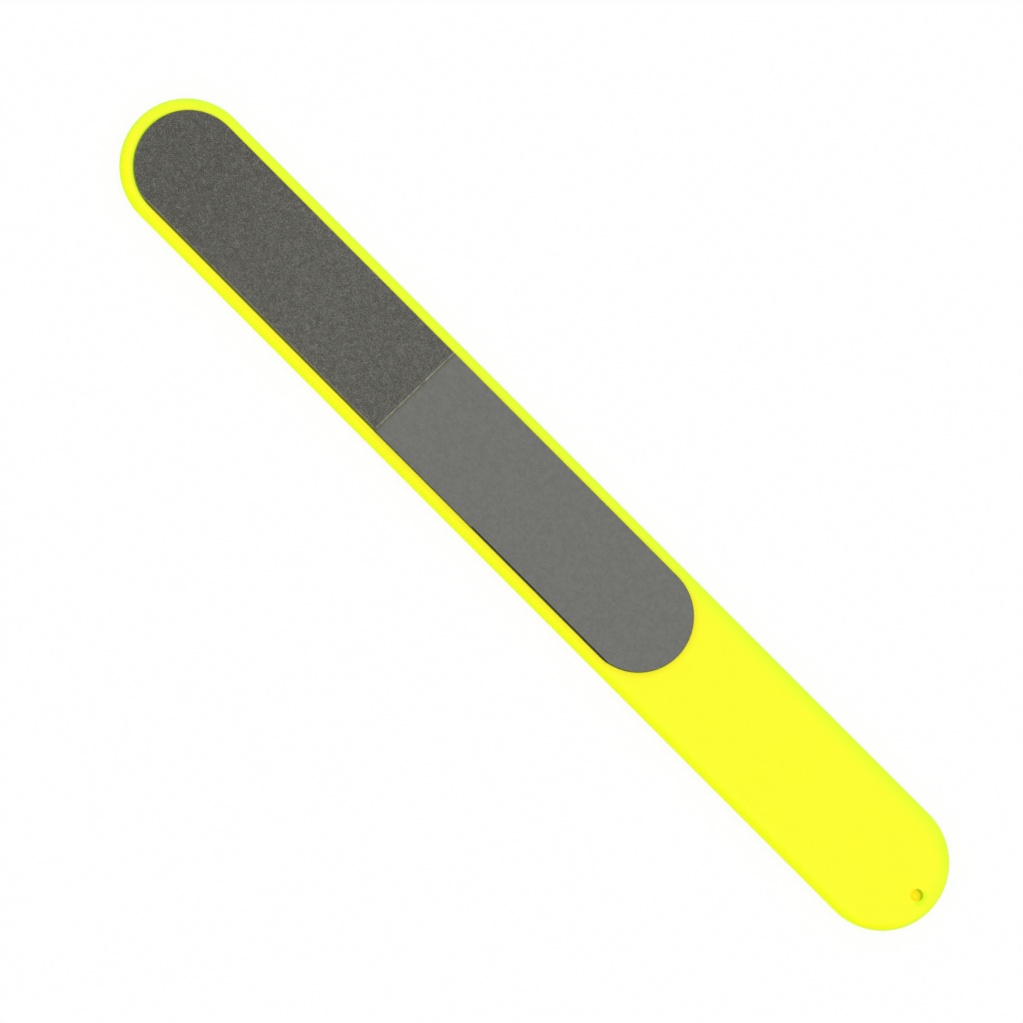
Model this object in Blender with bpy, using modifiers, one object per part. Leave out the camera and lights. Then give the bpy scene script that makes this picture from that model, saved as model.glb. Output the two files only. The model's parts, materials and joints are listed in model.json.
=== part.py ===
"""Paddle nail file: a moulded plastic body with two abrasive sheets bonded into each face.

Metres, +Z up. +X runs along the file towards the bare end of the handle, and +Y runs across it. The origin
lies under the middle of the file, in the plane of the back sheets' grit, on which the file rests.
"""

import math
from collections import namedtuple

import bmesh
import bpy

# Body: a bar with round ends, whose faces fall away softly to the edge
BODY_LENGTH = 0.2500
BODY_WIDTH = 0.0305
BODY_THICKNESS = 0.0040
CROWN_WIDTH = 0.0050
PARTING_LAND = 0.0004
SECTION_EXPONENT = 2.5

# Shallow recess that takes the sheets, the same in both faces
RIM_WIDTH = 0.00275
TIP_RIM_WIDTH = 0.0029
RECESS_DEPTH = 0.00025
SHEET_CLEARANCE = 0.00015

# Round gate recess near the handle's end of the front face, with the broken gate's nub in its middle
GATE_DIAMETER = 0.0030
GATE_FROM_END = 0.0047
GATE_DEPTH = 0.0015
GATE_LIP = 0.0002
NUB_DIAMETER = 0.0016
NUB_HEIGHT = 0.0002

# Sheets: one by the tip and one by the handle, on each face, all finishing at one height
TIP_SHEET_LENGTH = 0.0834
HANDLE_SHEET_LENGTH = 0.0831
JOINT_GAP = 0.00015
SHEET_THICKNESS = 0.00060
ADHESIVE_THICKNESS = 0.00012
ADHESIVE_SETBACK = 0.00030
BOND_GAP = 0.00002
COARSE_GRIT_THICKNESS = 0.00028
MEDIUM_GRIT_THICKNESS = 0.00020
FINE_GRIT_THICKNESS = 0.00012
EXTRA_FINE_GRIT_THICKNESS = 0.00008
TIP_SHEET_BARE_MARGIN = 0.00025

# Fineness of the round stretches, and how far a cut runs past what it cuts
ARC_STEPS = 32
SECTION_STEPS = 9
GATE_STEPS = 32
NUB_STEPS = 4
CUT_OVERRUN = 0.0010
WELD_DISTANCE = 0.000001
SMOOTH_ANGLE = math.radians(30)

# Outline of the body, about the middle of the file
HALF_LENGTH = BODY_LENGTH / 2
HALF_WIDTH = BODY_WIDTH / 2
HALF_THICKNESS = BODY_THICKNESS / 2
BODY_ARC_X = HALF_LENGTH - HALF_WIDTH
GATE_X = HALF_LENGTH - GATE_FROM_END

# Outline of the sheets, which keep one rim from the body's sides and another from its tip
SHEET_RADIUS = HALF_WIDTH - RIM_WIDTH
TIP_SHEET_END_X = -HALF_LENGTH + TIP_RIM_WIDTH
TIP_ARC_X = TIP_SHEET_END_X + SHEET_RADIUS
TIP_SHEET_CUT_X = TIP_SHEET_END_X + TIP_SHEET_LENGTH
HANDLE_SHEET_CUT_X = TIP_SHEET_CUT_X + JOINT_GAP
HANDLE_ARC_X = HANDLE_SHEET_CUT_X + HANDLE_SHEET_LENGTH - SHEET_RADIUS

# Heights: levels are measured outwards from the body's middle plane
RECESS_FLOOR_LEVEL = HALF_THICKNESS - RECESS_DEPTH
SHEET_LEVEL = RECESS_FLOOR_LEVEL + BOND_GAP + ADHESIVE_THICKNESS + BOND_GAP
MIDDLE_HEIGHT = SHEET_LEVEL + SHEET_THICKNESS

FRONT = 1
BACK = -1
TOWARDS_TIP = -1
TOWARDS_HANDLE = 1

# Display colours, 0 to 255, and roughness values
PLASTIC_COLOUR = (253, 253, 52)
TAN_PAPER_COLOUR = (150, 140, 104)
CHARCOAL_PAPER_COLOUR = (58, 58, 46)
ADHESIVE_COLOUR = (214, 208, 176)
COARSE_GRIT_COLOUR = (96, 96, 90)
MEDIUM_GRIT_COLOUR = (104, 104, 99)
FINE_GRIT_COLOUR = (116, 116, 111)
EXTRA_FINE_GRIT_COLOUR = (128, 128, 124)
PLASTIC_ROUGHNESS = 0.42
PAPER_ROUGHNESS = 0.90
ADHESIVE_ROUGHNESS = 0.50
GRIT_ROUGHNESS = 0.80


Sheet = namedtuple("Sheet", "name side end grit_thickness grit_colour")

SHEETS = (
    Sheet("front_coarse", FRONT, TOWARDS_TIP, COARSE_GRIT_THICKNESS, COARSE_GRIT_COLOUR),
    Sheet("front_fine", FRONT, TOWARDS_HANDLE, FINE_GRIT_THICKNESS, FINE_GRIT_COLOUR),
    Sheet("back_medium", BACK, TOWARDS_TIP, MEDIUM_GRIT_THICKNESS, MEDIUM_GRIT_COLOUR),
    Sheet("back_extra_fine", BACK, TOWARDS_HANDLE, EXTRA_FINE_GRIT_THICKNESS, EXTRA_FINE_GRIT_COLOUR),
)


def clear_scene():
    for obj in list(bpy.data.objects):
        bpy.data.objects.remove(obj, do_unlink=True)


def add_collection(name):
    collection = bpy.data.collections.new(name)
    bpy.context.scene.collection.children.link(collection)
    return collection


def linear_channel(value):
    """One 0 to 255 display channel as scene light."""
    share = value / 255
    if share <= 0.04045:
        return share / 12.92
    return ((share + 0.055) / 1.055) ** 2.4


def make_material(name, colour, roughness):
    material = bpy.data.materials.new(name)
    material.use_nodes = True
    shader = material.node_tree.nodes["Principled BSDF"]
    red, green, blue = (linear_channel(channel) for channel in colour)
    shader.inputs["Base Color"].default_value = (red, green, blue, 1)
    shader.inputs["Roughness"].default_value = roughness
    shader.inputs["Metallic"].default_value = 0
    material.diffuse_color = (red, green, blue, 1)
    return material


def round_end(centre_x, radius, facing):
    """A half circle about centre_x that bulges towards +X (facing 1) or -X (facing -1)."""
    points = []
    for step in range(ARC_STEPS + 1):
        angle = math.pi * (step / ARC_STEPS - 0.5)
        x = centre_x + facing * radius * math.cos(angle)
        points.append((x, facing * radius * math.sin(angle)))
    return points


def bar_outline(left_arc_x, right_arc_x, radius):
    """A bar with two round ends."""
    return round_end(right_arc_x, radius, 1) + round_end(left_arc_x, radius, -1)


def sheet_outline(arc_x, cut_x, radius, facing):
    """A bar with one round end and one square cut."""
    return round_end(arc_x, radius, facing) + [(cut_x, facing * radius), (cut_x, -facing * radius)]


def add_plate(name, points, thickness, height, collection):
    """A flat outline made solid about the given height, as a mesh object with welded caps."""
    curve = bpy.data.curves.new(name + "_outline", "CURVE")
    curve.dimensions = "2D"
    curve.fill_mode = "BOTH"
    curve.extrude = thickness / 2
    spline = curve.splines.new("POLY")
    spline.points.add(len(points) - 1)
    for point, (x, y) in zip(spline.points, points):
        point.co = (x, y, 0, 1)
    spline.use_cyclic_u = True

    outline = bpy.data.objects.new(name + "_outline", curve)
    outline.location.z = height
    collection.objects.link(outline)
    bpy.context.view_layer.update()
    evaluated = outline.evaluated_get(bpy.context.evaluated_depsgraph_get())
    mesh = bpy.data.meshes.new_from_object(evaluated)
    mesh.name = name
    plate = bpy.data.objects.new(name, mesh)
    plate.matrix_world = outline.matrix_world
    collection.objects.link(plate)
    bpy.data.objects.remove(outline, do_unlink=True)

    bm = bmesh.new()
    bm.from_mesh(mesh)
    bmesh.ops.remove_doubles(bm, verts=bm.verts, dist=WELD_DISTANCE)
    bm.to_mesh(mesh)
    bm.free()
    return plate


def finish_part(part, material):
    part.data.materials.clear()
    part.data.materials.append(material)
    part.data.shade_smooth()
    part.data.set_sharp_from_angle(angle=SMOOTH_ANGLE)


def crown_place(step):
    """How far in from the outline, and how far above the parting land, ring number step lies."""
    turn = math.pi / 2 * step / SECTION_STEPS
    inward = CROWN_WIDTH * (1 - math.cos(turn) ** (2 / SECTION_EXPONENT))
    rise = (HALF_THICKNESS - PARTING_LAND / 2) * math.sin(turn) ** (2 / SECTION_EXPONENT)
    return inward, rise


def raise_crowns(mesh):
    """Insets and lifts both faces ring by ring, so that the edge is a quarter of a superellipse."""
    bm = bmesh.new()
    bm.from_mesh(mesh)
    for side in (FRONT, BACK):
        cap_faces = [face for face in bm.faces if face.normal.z * side > math.cos(SMOOTH_ANGLE)]
        cap = bmesh.ops.dissolve_faces(bm, faces=cap_faces)["region"][0]
        last_inward, last_rise = 0, 0
        for step in range(1, SECTION_STEPS + 1):
            inward, rise = crown_place(step)
            bmesh.ops.inset_region(
                bm,
                faces=[cap],
                thickness=inward - last_inward,
                depth=rise - last_rise,
                use_even_offset=True,
            )
            last_inward, last_rise = inward, rise
    bm.to_mesh(mesh)
    bm.free()


def add_gate_cutter(collection):
    """A turned cutter for the gate recess, flared at the face for its softened lip and hollowed for its nub."""
    radius = GATE_DIAMETER / 2
    floor = HALF_THICKNESS - GATE_DEPTH
    profile = [
        (0, HALF_THICKNESS + CUT_OVERRUN),
        (radius + GATE_LIP + CUT_OVERRUN, HALF_THICKNESS + CUT_OVERRUN),
        (radius, HALF_THICKNESS - GATE_LIP),
        (radius, floor),
    ]
    for step in range(NUB_STEPS + 1):
        turn = math.pi / 2 * step / NUB_STEPS
        profile.append((NUB_DIAMETER / 2 * math.cos(turn), floor + NUB_HEIGHT * math.sin(turn)))
    mesh = bpy.data.meshes.new("gate_recess_cutter")
    bm = bmesh.new()
    corners = [bm.verts.new((x, 0, z)) for x, z in profile]
    for first, second in zip(corners, corners[1:]):
        bm.edges.new((first, second))
    bm.to_mesh(mesh)
    bm.free()

    cutter = bpy.data.objects.new("gate_recess_cutter", mesh)
    cutter.location = (GATE_X, 0, MIDDLE_HEIGHT)
    collection.objects.link(cutter)
    screw = cutter.modifiers.new("turn", "SCREW")
    screw.axis = "Z"
    screw.steps = GATE_STEPS
    screw.render_steps = GATE_STEPS
    screw.use_merge_vertices = True
    screw.merge_threshold = WELD_DISTANCE
    return cutter


def add_recess_cutter(side, collection):
    """A plate that clears the recess in one face, the clearance larger all round than the sheets."""
    outline = bar_outline(TIP_ARC_X, HANDLE_ARC_X, SHEET_RADIUS + SHEET_CLEARANCE)
    depth = RECESS_DEPTH + CUT_OVERRUN
    height = MIDDLE_HEIGHT + side * (RECESS_FLOOR_LEVEL + depth / 2)
    name = "front_recess_cutter" if side == FRONT else "back_recess_cutter"
    return add_plate(name, outline, depth, height, collection)


def build_handle_body(parts, cutters):
    """The moulded bar, with its crowned faces, its two recesses for the sheets and its gate recess."""
    outline = bar_outline(-BODY_ARC_X, BODY_ARC_X, HALF_WIDTH)
    body = add_plate("handle_body", outline, PARTING_LAND, MIDDLE_HEIGHT, parts)
    raise_crowns(body.data)
    finish_part(body, make_material("handle_plastic", PLASTIC_COLOUR, PLASTIC_ROUGHNESS))
    recess_cutters = [add_recess_cutter(side, cutters) for side in (FRONT, BACK)]
    for cutter in (*recess_cutters, add_gate_cutter(cutters)):
        cutter.hide_render = True
        cutter.display_type = "WIRE"
        cut = body.modifiers.new(cutter.name, "BOOLEAN")
        cut.operation = "DIFFERENCE"
        cut.solver = "EXACT"
        cut.object = cutter
    return body


def build_sheet(sheet, paper_materials, adhesive_material, parts):
    """Stacks a sheet's adhesive film, backing paper and grit coat outwards from the recess's floor."""
    if sheet.end == TOWARDS_TIP:
        arc_x, cut_x, bare_margin = TIP_ARC_X, TIP_SHEET_CUT_X, TIP_SHEET_BARE_MARGIN
    else:
        arc_x, cut_x, bare_margin = HANDLE_ARC_X, HANDLE_SHEET_CUT_X, 0
    paper_thickness = SHEET_THICKNESS - BOND_GAP - sheet.grit_thickness
    grit_material = make_material(sheet.name + "_grit", sheet.grit_colour, GRIT_ROUGHNESS)
    layers = (
        ("adhesive_film", ADHESIVE_THICKNESS, ADHESIVE_SETBACK, ADHESIVE_SETBACK, adhesive_material),
        ("backing_paper", paper_thickness, 0, 0, paper_materials[sheet.end]),
        ("grit_coat", sheet.grit_thickness, 0, bare_margin, grit_material),
    )
    level = RECESS_FLOOR_LEVEL
    built = []
    for layer_name, thickness, edge_setback, cut_setback, material in layers:
        level += BOND_GAP
        outline = sheet_outline(
            arc_x, cut_x + sheet.end * cut_setback, SHEET_RADIUS - edge_setback, sheet.end
        )
        height = MIDDLE_HEIGHT + sheet.side * (level + thickness / 2)
        layer = add_plate(f"{sheet.name}_{layer_name}", outline, thickness, height, parts)
        finish_part(layer, material)
        built.append(layer)
        level += thickness
    return built


def main():
    clear_scene()
    parts = add_collection("nail_file")
    cutters = add_collection("nail_file_cutters")
    root = bpy.data.objects.new("nail_file_origin", None)
    root.empty_display_size = HALF_WIDTH
    parts.objects.link(root)

    pieces = [build_handle_body(parts, cutters)]
    paper_materials = {
        TOWARDS_TIP: make_material("tan_paper", TAN_PAPER_COLOUR, PAPER_ROUGHNESS),
        TOWARDS_HANDLE: make_material("charcoal_paper", CHARCOAL_PAPER_COLOUR, PAPER_ROUGHNESS),
    }
    adhesive_material = make_material("adhesive_film", ADHESIVE_COLOUR, ADHESIVE_ROUGHNESS)
    for sheet in SHEETS:
        pieces += build_sheet(sheet, paper_materials, adhesive_material, parts)
    for piece in pieces:
        piece.parent = root


main()
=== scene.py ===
"""Looks of the paddle nail file: its moulded handle, four abrasive sheets and a plain studio.

Metres, +Z up. +X runs along the file towards the bare end of the handle, +Y across it, and the file
lies on its back face at z 0. Laid out as a Blender add-on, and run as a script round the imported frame.
"""

import json
import math
from collections import namedtuple

import bmesh
import bpy
from bpy.props import FloatProperty, FloatVectorProperty, IntProperty, PointerProperty
from mathutils import Matrix, Vector

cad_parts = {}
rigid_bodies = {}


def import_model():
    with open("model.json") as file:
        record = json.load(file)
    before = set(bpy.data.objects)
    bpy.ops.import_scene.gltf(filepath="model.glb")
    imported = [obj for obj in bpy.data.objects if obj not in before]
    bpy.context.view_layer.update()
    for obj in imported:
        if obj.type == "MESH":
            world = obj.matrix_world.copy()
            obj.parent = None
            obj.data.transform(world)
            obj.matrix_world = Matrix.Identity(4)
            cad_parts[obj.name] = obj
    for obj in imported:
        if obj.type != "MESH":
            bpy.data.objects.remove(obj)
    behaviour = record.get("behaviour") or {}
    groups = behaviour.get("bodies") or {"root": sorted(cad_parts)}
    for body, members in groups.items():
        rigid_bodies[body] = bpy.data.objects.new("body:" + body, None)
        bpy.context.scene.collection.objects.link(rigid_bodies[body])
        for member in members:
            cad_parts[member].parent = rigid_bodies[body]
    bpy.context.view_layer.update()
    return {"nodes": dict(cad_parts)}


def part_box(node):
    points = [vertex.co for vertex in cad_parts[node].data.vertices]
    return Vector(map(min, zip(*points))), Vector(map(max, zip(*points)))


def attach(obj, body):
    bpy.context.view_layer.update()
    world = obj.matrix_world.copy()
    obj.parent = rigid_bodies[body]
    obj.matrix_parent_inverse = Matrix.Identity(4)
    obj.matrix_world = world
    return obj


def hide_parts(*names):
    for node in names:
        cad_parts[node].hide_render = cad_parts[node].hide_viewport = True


bl_info = {
    "name": "Paddle Nail File",
    "version": (1, 0, 0),
    "blender": (4, 5, 0),
    "location": "3D View > Sidebar > Nail File",
    "description": "Builds the moulded handle, the abrasive sheets and a studio stage",
    "category": "Add Mesh",
}

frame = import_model()

FRONT = 1
BACK = -1
TOWARDS_TIP = -1
TOWARDS_HANDLE = 1

# Body of the frame
BODY_LOW, BODY_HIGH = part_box("handle_body")
HALF_WIDTH = (BODY_HIGH.y - BODY_LOW.y) / 2
HALF_THICKNESS = (BODY_HIGH.z - BODY_LOW.z) / 2
MIDDLE_HEIGHT = (BODY_HIGH.z + BODY_LOW.z) / 2
FACE_HEIGHT = MIDDLE_HEIGHT + HALF_THICKNESS
BODY_ARC_X = BODY_HIGH.x - HALF_WIDTH

# Sheets of the frame: one outline by the tip and one by the handle, on both faces
TIP_SHEET_LOW, TIP_SHEET_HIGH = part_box("front_coarse_backing_paper")
HANDLE_SHEET_LOW, HANDLE_SHEET_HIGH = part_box("front_fine_backing_paper")
SHEET_RADIUS = (TIP_SHEET_HIGH.y - TIP_SHEET_LOW.y) / 2
TIP_ARC_X = TIP_SHEET_LOW.x + SHEET_RADIUS
HANDLE_ARC_X = HANDLE_SHEET_HIGH.x - SHEET_RADIUS
JOINT_X = HANDLE_SHEET_LOW.x
BOND_GAP = 0.00002
RECESS_FLOOR_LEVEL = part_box("front_coarse_adhesive_film")[0].z - BOND_GAP - MIDDLE_HEIGHT

# Cut between the sheets: its slope, how far from it the slope dies out, and the waves of its raggedness,
# each with its count round the outline and its start
CUT_SKEW = 0.035
SKEW_REACH = 0.006
RAGGED_WAVES = ((97, 0), (41, 1), (17, 0))

# Grains and their resin bed, in shares of the spacing, the grain or the bed
GRAIN_DENSITY = 3.0
GRAIN_SCALES = ((0.75, 0.75, 0.75), (1.15, 1.15, 1.15))
GRAIN_SHADES = (0.2, 1.0)
GRAIN_DEPTH = 0.16
FIELD_MARGIN = 0.4
BED_RELIEF = 0.3

# Crystals: the top and height of each cone and how far corners are moved, in radii, and the turns
# that make those moves unlike
CRYSTAL_CONES = ((0.5, 1.1), (0.0, 1.4))
CRYSTAL_LEAN = (0.18, 0.15)
CRYSTAL_TURNS = (7.0, 3.0, 5.0)

# Grains too small to model, in metres
FINE_GRAIN = 0.00012
EXTRA_FINE_GRAIN = 0.00008

# Modelling
WELD_DISTANCE = 0.000002
CUT_OVERRUN = 0.001
ARC_SEGMENTS = 40
CROWN_STEPS = 12
FLARE_STEPS = 6
NUB_STEPS = 6
SMOOTH_ANGLE = math.radians(35)
QUARTER_TURN = math.pi / 2

# Framing of the photo, in its own pixels
PHOTO_SIDE_PIXELS = 1023
PHOTO_CENTRE_PIXELS = (534.3, 514.5)
PHOTO_LENGTH_PIXELS = 1119.7
PHOTO_TURN = math.radians(45.03)

# Light, and where gloss sees the sky dark and bright, as the Y of its direction
WHITE = (1, 1, 1, 1)
DARK_SKY = (-0.75, -0.10)

Sheet = namedtuple("Sheet", "name side end paper_slot grit_slot")
FRONT_COARSE = Sheet("front_coarse", FRONT, TOWARDS_TIP, "tan_paper", "coarse_grit")
FRONT_FINE = Sheet("front_fine", FRONT, TOWARDS_HANDLE, "charcoal_paper", "fine_grit")
BACK_MEDIUM = Sheet("back_medium", BACK, TOWARDS_TIP, "tan_paper", "medium_grit")
BACK_EXTRA_FINE = Sheet("back_extra_fine", BACK, TOWARDS_HANDLE, "charcoal_paper", "extra_fine_grit")
SHEETS = (FRONT_COARSE, FRONT_FINE, BACK_MEDIUM, BACK_EXTRA_FINE)
Layer = namedtuple("Layer", "cut_x arc_x radius low_z high_z")


def linear_channel(value):
    """One 0 to 255 display channel as scene light, by the sRGB curve."""
    share = value / 255
    if share <= 0.04045:
        return share / 12.92
    return ((share + 0.055) / 1.055) ** 2.4


def display(red, green, blue):
    """A 0 to 255 display colour as scene light."""
    return tuple(linear_channel(channel) for channel in (red, green, blue))


def length_property(name, description, default):
    return FloatProperty(name=name, description=description, default=default, unit="LENGTH", precision=6)


def angle_property(name, description, degrees):
    return FloatProperty(name=name, description=description, default=math.radians(degrees), subtype="ANGLE")


def share_property(name, description, default):
    return FloatProperty(name=name, description=description, default=default, min=0, max=1)


def colour_property(name, description, default):
    return FloatVectorProperty(
        name=name, description=description, default=default, size=3, subtype="COLOR", min=0, max=1
    )


class NailFileHandleSizes(bpy.types.PropertyGroup):
    """Sizes of the moulded handle that the frame's boxes don't give."""

    crown_width: length_property("Crown width", "How far in from the edge the faces fall away", 0.0050)
    crown_exponent: FloatProperty(
        name="Crown exponent", description="Squareness of the edge's section", default=2.5, min=2, max=6
    )
    parting_land: length_property("Parting land", "Upright band round the middle of the edge", 0.0004)
    ridge_width: length_property("Ridge width", "Width of the parting line's ridge", 0.00010)
    ridge_height: length_property("Ridge height", "How far the parting line stands out", 0.00003)
    sheet_clearance: length_property("Sheet clearance", "Gap round the sheets in their recess", 0.00015)
    recess_shift: length_property("Recess shift", "How far towards +Y the front recess lies", 0.00006)
    recess_lip: length_property("Recess lip", "Softening of the recess's upper edge", 0.00004)
    gate_diameter: length_property("Gate diameter", "Round gate recess", 0.0026)
    gate_from_end: length_property("Gate from end", "Middle of the gate recess from the end", 0.0047)
    gate_depth: length_property("Gate depth", "Depth of the gate recess", 0.0015)
    gate_lip: length_property("Gate lip", "Softening of the gate recess's edge", 0.00040)
    nub_diameter: length_property("Nub diameter", "Broken gate in the middle of its recess", 0.0016)
    nub_height: length_property("Nub height", "Height of the broken gate", 0.00020)
    # Reaches of the painted shade that greens the plastic towards its edge
    upper_tint: length_property("Upper tint", "How far in from its +Y side the plastic is greener", 0.0050)
    lower_tint: length_property("Lower tint", "The same from its -Y side, where it is fainter", 0.0040)
    end_tint: length_property("End tint", "The same from its round ends", 0.0012)
    broad_tint: length_property("Broad tint", "The same, faintly, in the +Y half of its ends", 0.0034)


class NailFileSheetSizes(bpy.types.PropertyGroup):
    """Sizes of the abrasive sheets' surfaces."""

    coarse_shift: length_property("Coarse shift", "How far towards +Y the coarse sheet is bonded", 0.00010)
    fine_shift: length_property("Fine shift", "How far towards +Y the fine sheet is bonded", 0.00006)
    bare_edge: length_property("Bare edge", "Paper left bare along the coarse sheet's -Y edge", 0.00048)
    resin_thickness: length_property("Resin thickness", "Resin bed that holds the grains", 0.00009)
    bed_cell: length_property("Bed cell", "Spacing of the resin bed's relief", 0.00060)
    coarse_spacing: length_property("Coarse spacing", "Least distance between coarse grains", 0.00022)
    coarse_grain: length_property("Coarse grain", "Mean size of the coarse grains", 0.00032)
    medium_spacing: length_property("Medium spacing", "Least distance between medium grains", 0.00022)
    medium_grain: length_property("Medium grain", "Mean size of the medium grains", 0.00024)
    fine_cell: length_property("Fine cell", "Spacing of the fine coats' relief", 0.00030)
    fine_relief: length_property("Fine relief", "Height of the fine coats' relief", 0.00002)
    strip_start: length_property("Strip start", "Where the fine sheet's dark strip starts", -0.0085)
    strip_end: length_property("Strip end", "Where it stops, past the start of the round end", 0.0342)
    strip_overhang: length_property("Strip overhang", "How far it stands out past the sheet", 0.00002)
    strip_width: length_property("Strip width", "How far it reaches in from the sheet's edge", 0.00020)
    strip_rise: length_property("Strip rise", "Gap between it and the rim under it", 0.00005)
    paper_creep: length_property("Paper creep", "How far the tan papers' cut edge has crept", 0.00015)
    ragged_cut: length_property("Ragged cut", "Unevenness of the coats' cut edges", 0.00006)
    seed: IntProperty(name="Seed", description="Seed of the grains' places", default=7, min=0)


class NailFileFinish(bpy.types.PropertyGroup):
    """Colours of the finishes."""

    plastic: colour_property("Plastic", "Fluorescent yellow of the flat faces", (0.978, 0.975, 0.018))
    # Painted shade: a greener, darker yellow along the plastic's edge
    plastic_edge_shade: colour_property("Plastic edge", "Greener yellow of the thin edge", (0.690, 0.990, 0.018))
    # Painted shade: warmer beside the sheets, olive in their gap, greener past the tip sheet's end and in
    # the gap there
    plastic_warm_shade: colour_property("Warm plastic", "Yellow beside the sheets", (1.0, 0.890, 0.008))
    plastic_gap_shade: colour_property("Plastic gap", "Olive dust in the sheets' gap", (0.36, 0.42, 0.0))
    plastic_tip_shade: colour_property("Plastic at the tip", "Green by the tip sheet's end", (0.64, 0.96, 0.0))
    tip_gap_shade: colour_property("Gap at the tip", "Green of the gap round that end", (0.32, 0.54, 0.0))
    # Painted shade as deeper yellow inside the gate recess, a painted shadow along its +Y side, and a green
    # halo of painted light past it
    gate_floor_shade: colour_property("Gate floor", "Deeper yellow of the gate recess", (0.95, 0.790, 0.002))
    gate_shade: colour_property("Gate shade", "Olive on the gate recess's +Y side", (0.52, 0.66, 0.0))
    gate_halo_light: colour_property("Gate halo", "Green round the gate recess's far side", (0.68, 0.985, 0.0))
    tan_paper: colour_property("Tan paper", "Latex-filled paper of the tip sheets", display(155, 152, 133))
    # Painted shadow along the -Y rim of the tan papers
    paper_rim_shade: colour_property("Paper rim", "Olive soiling of its -Y rim", (0.115, 0.112, 0.002))
    charcoal_paper: colour_property("Charcoal paper", "Paper of the handle sheets", display(22, 22, 17))
    adhesive: colour_property("Adhesive", "Bonding film", display(214, 208, 176))
    resin: colour_property("Resin", "Resin between the grains", display(88, 88, 82))
    coarse: colour_property("Coarse grit", "Coarse grains", display(140.5, 141, 133.5))
    medium: colour_property("Medium grit", "Medium grains", display(147, 147, 141))
    fine: colour_property("Fine grit", "Fine coat", display(120, 120.5, 115.5))
    extra_fine: colour_property("Extra fine grit", "Extra fine coat", display(128, 128, 124))


class NailFileStage(bpy.types.PropertyGroup):
    """Camera, floor and light."""

    camera_distance: length_property("Camera distance", "From the file to the camera", 10.0)
    tilt_across: angle_property("Tilt across", "Camera's lean from upright towards -Y", 9.6)
    tilt_along: angle_property("Tilt along", "Camera's lean from upright towards -X", 5.3)
    floor_size: length_property("Floor size", "Side of the square floor", 60.0)
    floor: colour_property("Floor", "Pale floor", (0.97, 0.97, 0.97))
    floor_white: share_property("Floor white", "How far the camera sees the floor as plain white", 0.87)
    sky_share: share_property("Sky share", "Share of the light that comes from all round", 0.8)
    dark_side: share_property("Dark side", "How bright gloss sees the sky low on the -Y side", 0.0)
    key_angle: angle_property("Key angle", "Breadth of the soft key light", 80)


# Modelling helpers


def leave_edit_mode():
    if bpy.context.object and bpy.context.object.mode != "OBJECT":
        bpy.ops.object.mode_set(mode="OBJECT")


def deselect_all():
    leave_edit_mode()
    bpy.ops.object.select_all(action="DESELECT")


def make_active(obj):
    deselect_all()
    obj.select_set(True)
    bpy.context.view_layer.objects.active = obj


def apply_place(obj):
    """Puts the object's place into its mesh."""
    make_active(obj)
    bpy.ops.object.transform_apply(location=True, rotation=True, scale=True)


def select_in_edit_mode(obj, kind, test):
    """Enters edit mode and selects the faces or edges that pass the test."""
    make_active(obj)
    bpy.ops.object.mode_set(mode="EDIT")
    bpy.ops.mesh.select_mode(type=kind)
    bpy.ops.mesh.select_all(action="DESELECT")
    mesh = bmesh.from_edit_mesh(obj.data)
    elements = mesh.faces if kind == "FACE" else mesh.edges
    for element in elements:
        if test(element):
            element.select_set(True)
    mesh.select_flush_mode()
    bmesh.update_edit_mesh(obj.data)


def faces_towards(side):
    return lambda face: face.normal.z * side > math.cos(SMOOTH_ANGLE)


def is_upright(edge):
    start, end = (vertex.co for vertex in edge.verts)
    return abs(start.z - end.z) > WELD_DISTANCE


def weld_all():
    bpy.ops.mesh.select_all(action="SELECT")
    bpy.ops.mesh.remove_doubles(threshold=WELD_DISTANCE)


def recalculate_normals(obj):
    make_active(obj)
    bpy.ops.object.mode_set(mode="EDIT")
    weld_all()
    bpy.ops.mesh.normals_make_consistent(inside=False)
    leave_edit_mode()


def add_block(low, high):
    """A block from its lowest corner to its highest."""
    deselect_all()
    middle = tuple((start + end) / 2 for start, end in zip(low, high))
    bpy.ops.mesh.primitive_cube_add(size=1, location=middle)
    block = bpy.context.object
    block.scale = tuple(end - start for start, end in zip(low, high))
    apply_place(block)
    return block


def add_bar(name, low_x, high_x, radius, low_z, high_z):
    """A flat bar with round ends: a block whose four upright edges are bevelled by its half width."""
    bar = add_block((low_x, -radius, low_z), (high_x, radius, high_z))
    bar.name = name
    select_in_edit_mode(bar, "EDGE", is_upright)
    bpy.ops.mesh.bevel(offset_type="OFFSET", offset=radius, segments=ARC_SEGMENTS, affect="EDGES")
    weld_all()
    leave_edit_mode()
    return bar


def step_cap(inward, outward):
    """Insets the selected cap and lifts it outwards."""
    bpy.ops.mesh.inset(thickness=inward, depth=outward, use_even_offset=True)


def apply_modifier(obj, modifier):
    make_active(obj)
    bpy.ops.object.modifier_apply(modifier=modifier.name)


def smooth_by_angle(obj):
    make_active(obj)
    bpy.ops.object.shade_smooth_by_angle(angle=SMOOTH_ANGLE)


def join_pieces(piece, other):
    make_active(piece)
    other.select_set(True)
    bpy.ops.object.join()


def cut_away(piece, cutter):
    cut = piece.modifiers.new("cut", "BOOLEAN")
    cut.operation = "DIFFERENCE"
    cut.solver = "EXACT"
    cut.object = cutter
    apply_modifier(piece, cut)
    bpy.data.objects.remove(cutter, do_unlink=True)


def finish_piece(piece, material, slot, *nodes):
    """Gives the piece its material and its place in the frame."""
    piece.data.materials.clear()
    piece.data.materials.append(material)
    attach(piece, "root")
    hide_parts(*nodes)


# Material helpers


def new_material(name):
    material = bpy.data.materials.new(name)
    material.use_nodes = True
    return material, material.node_tree, material.node_tree.nodes["Principled BSDF"]


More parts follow.
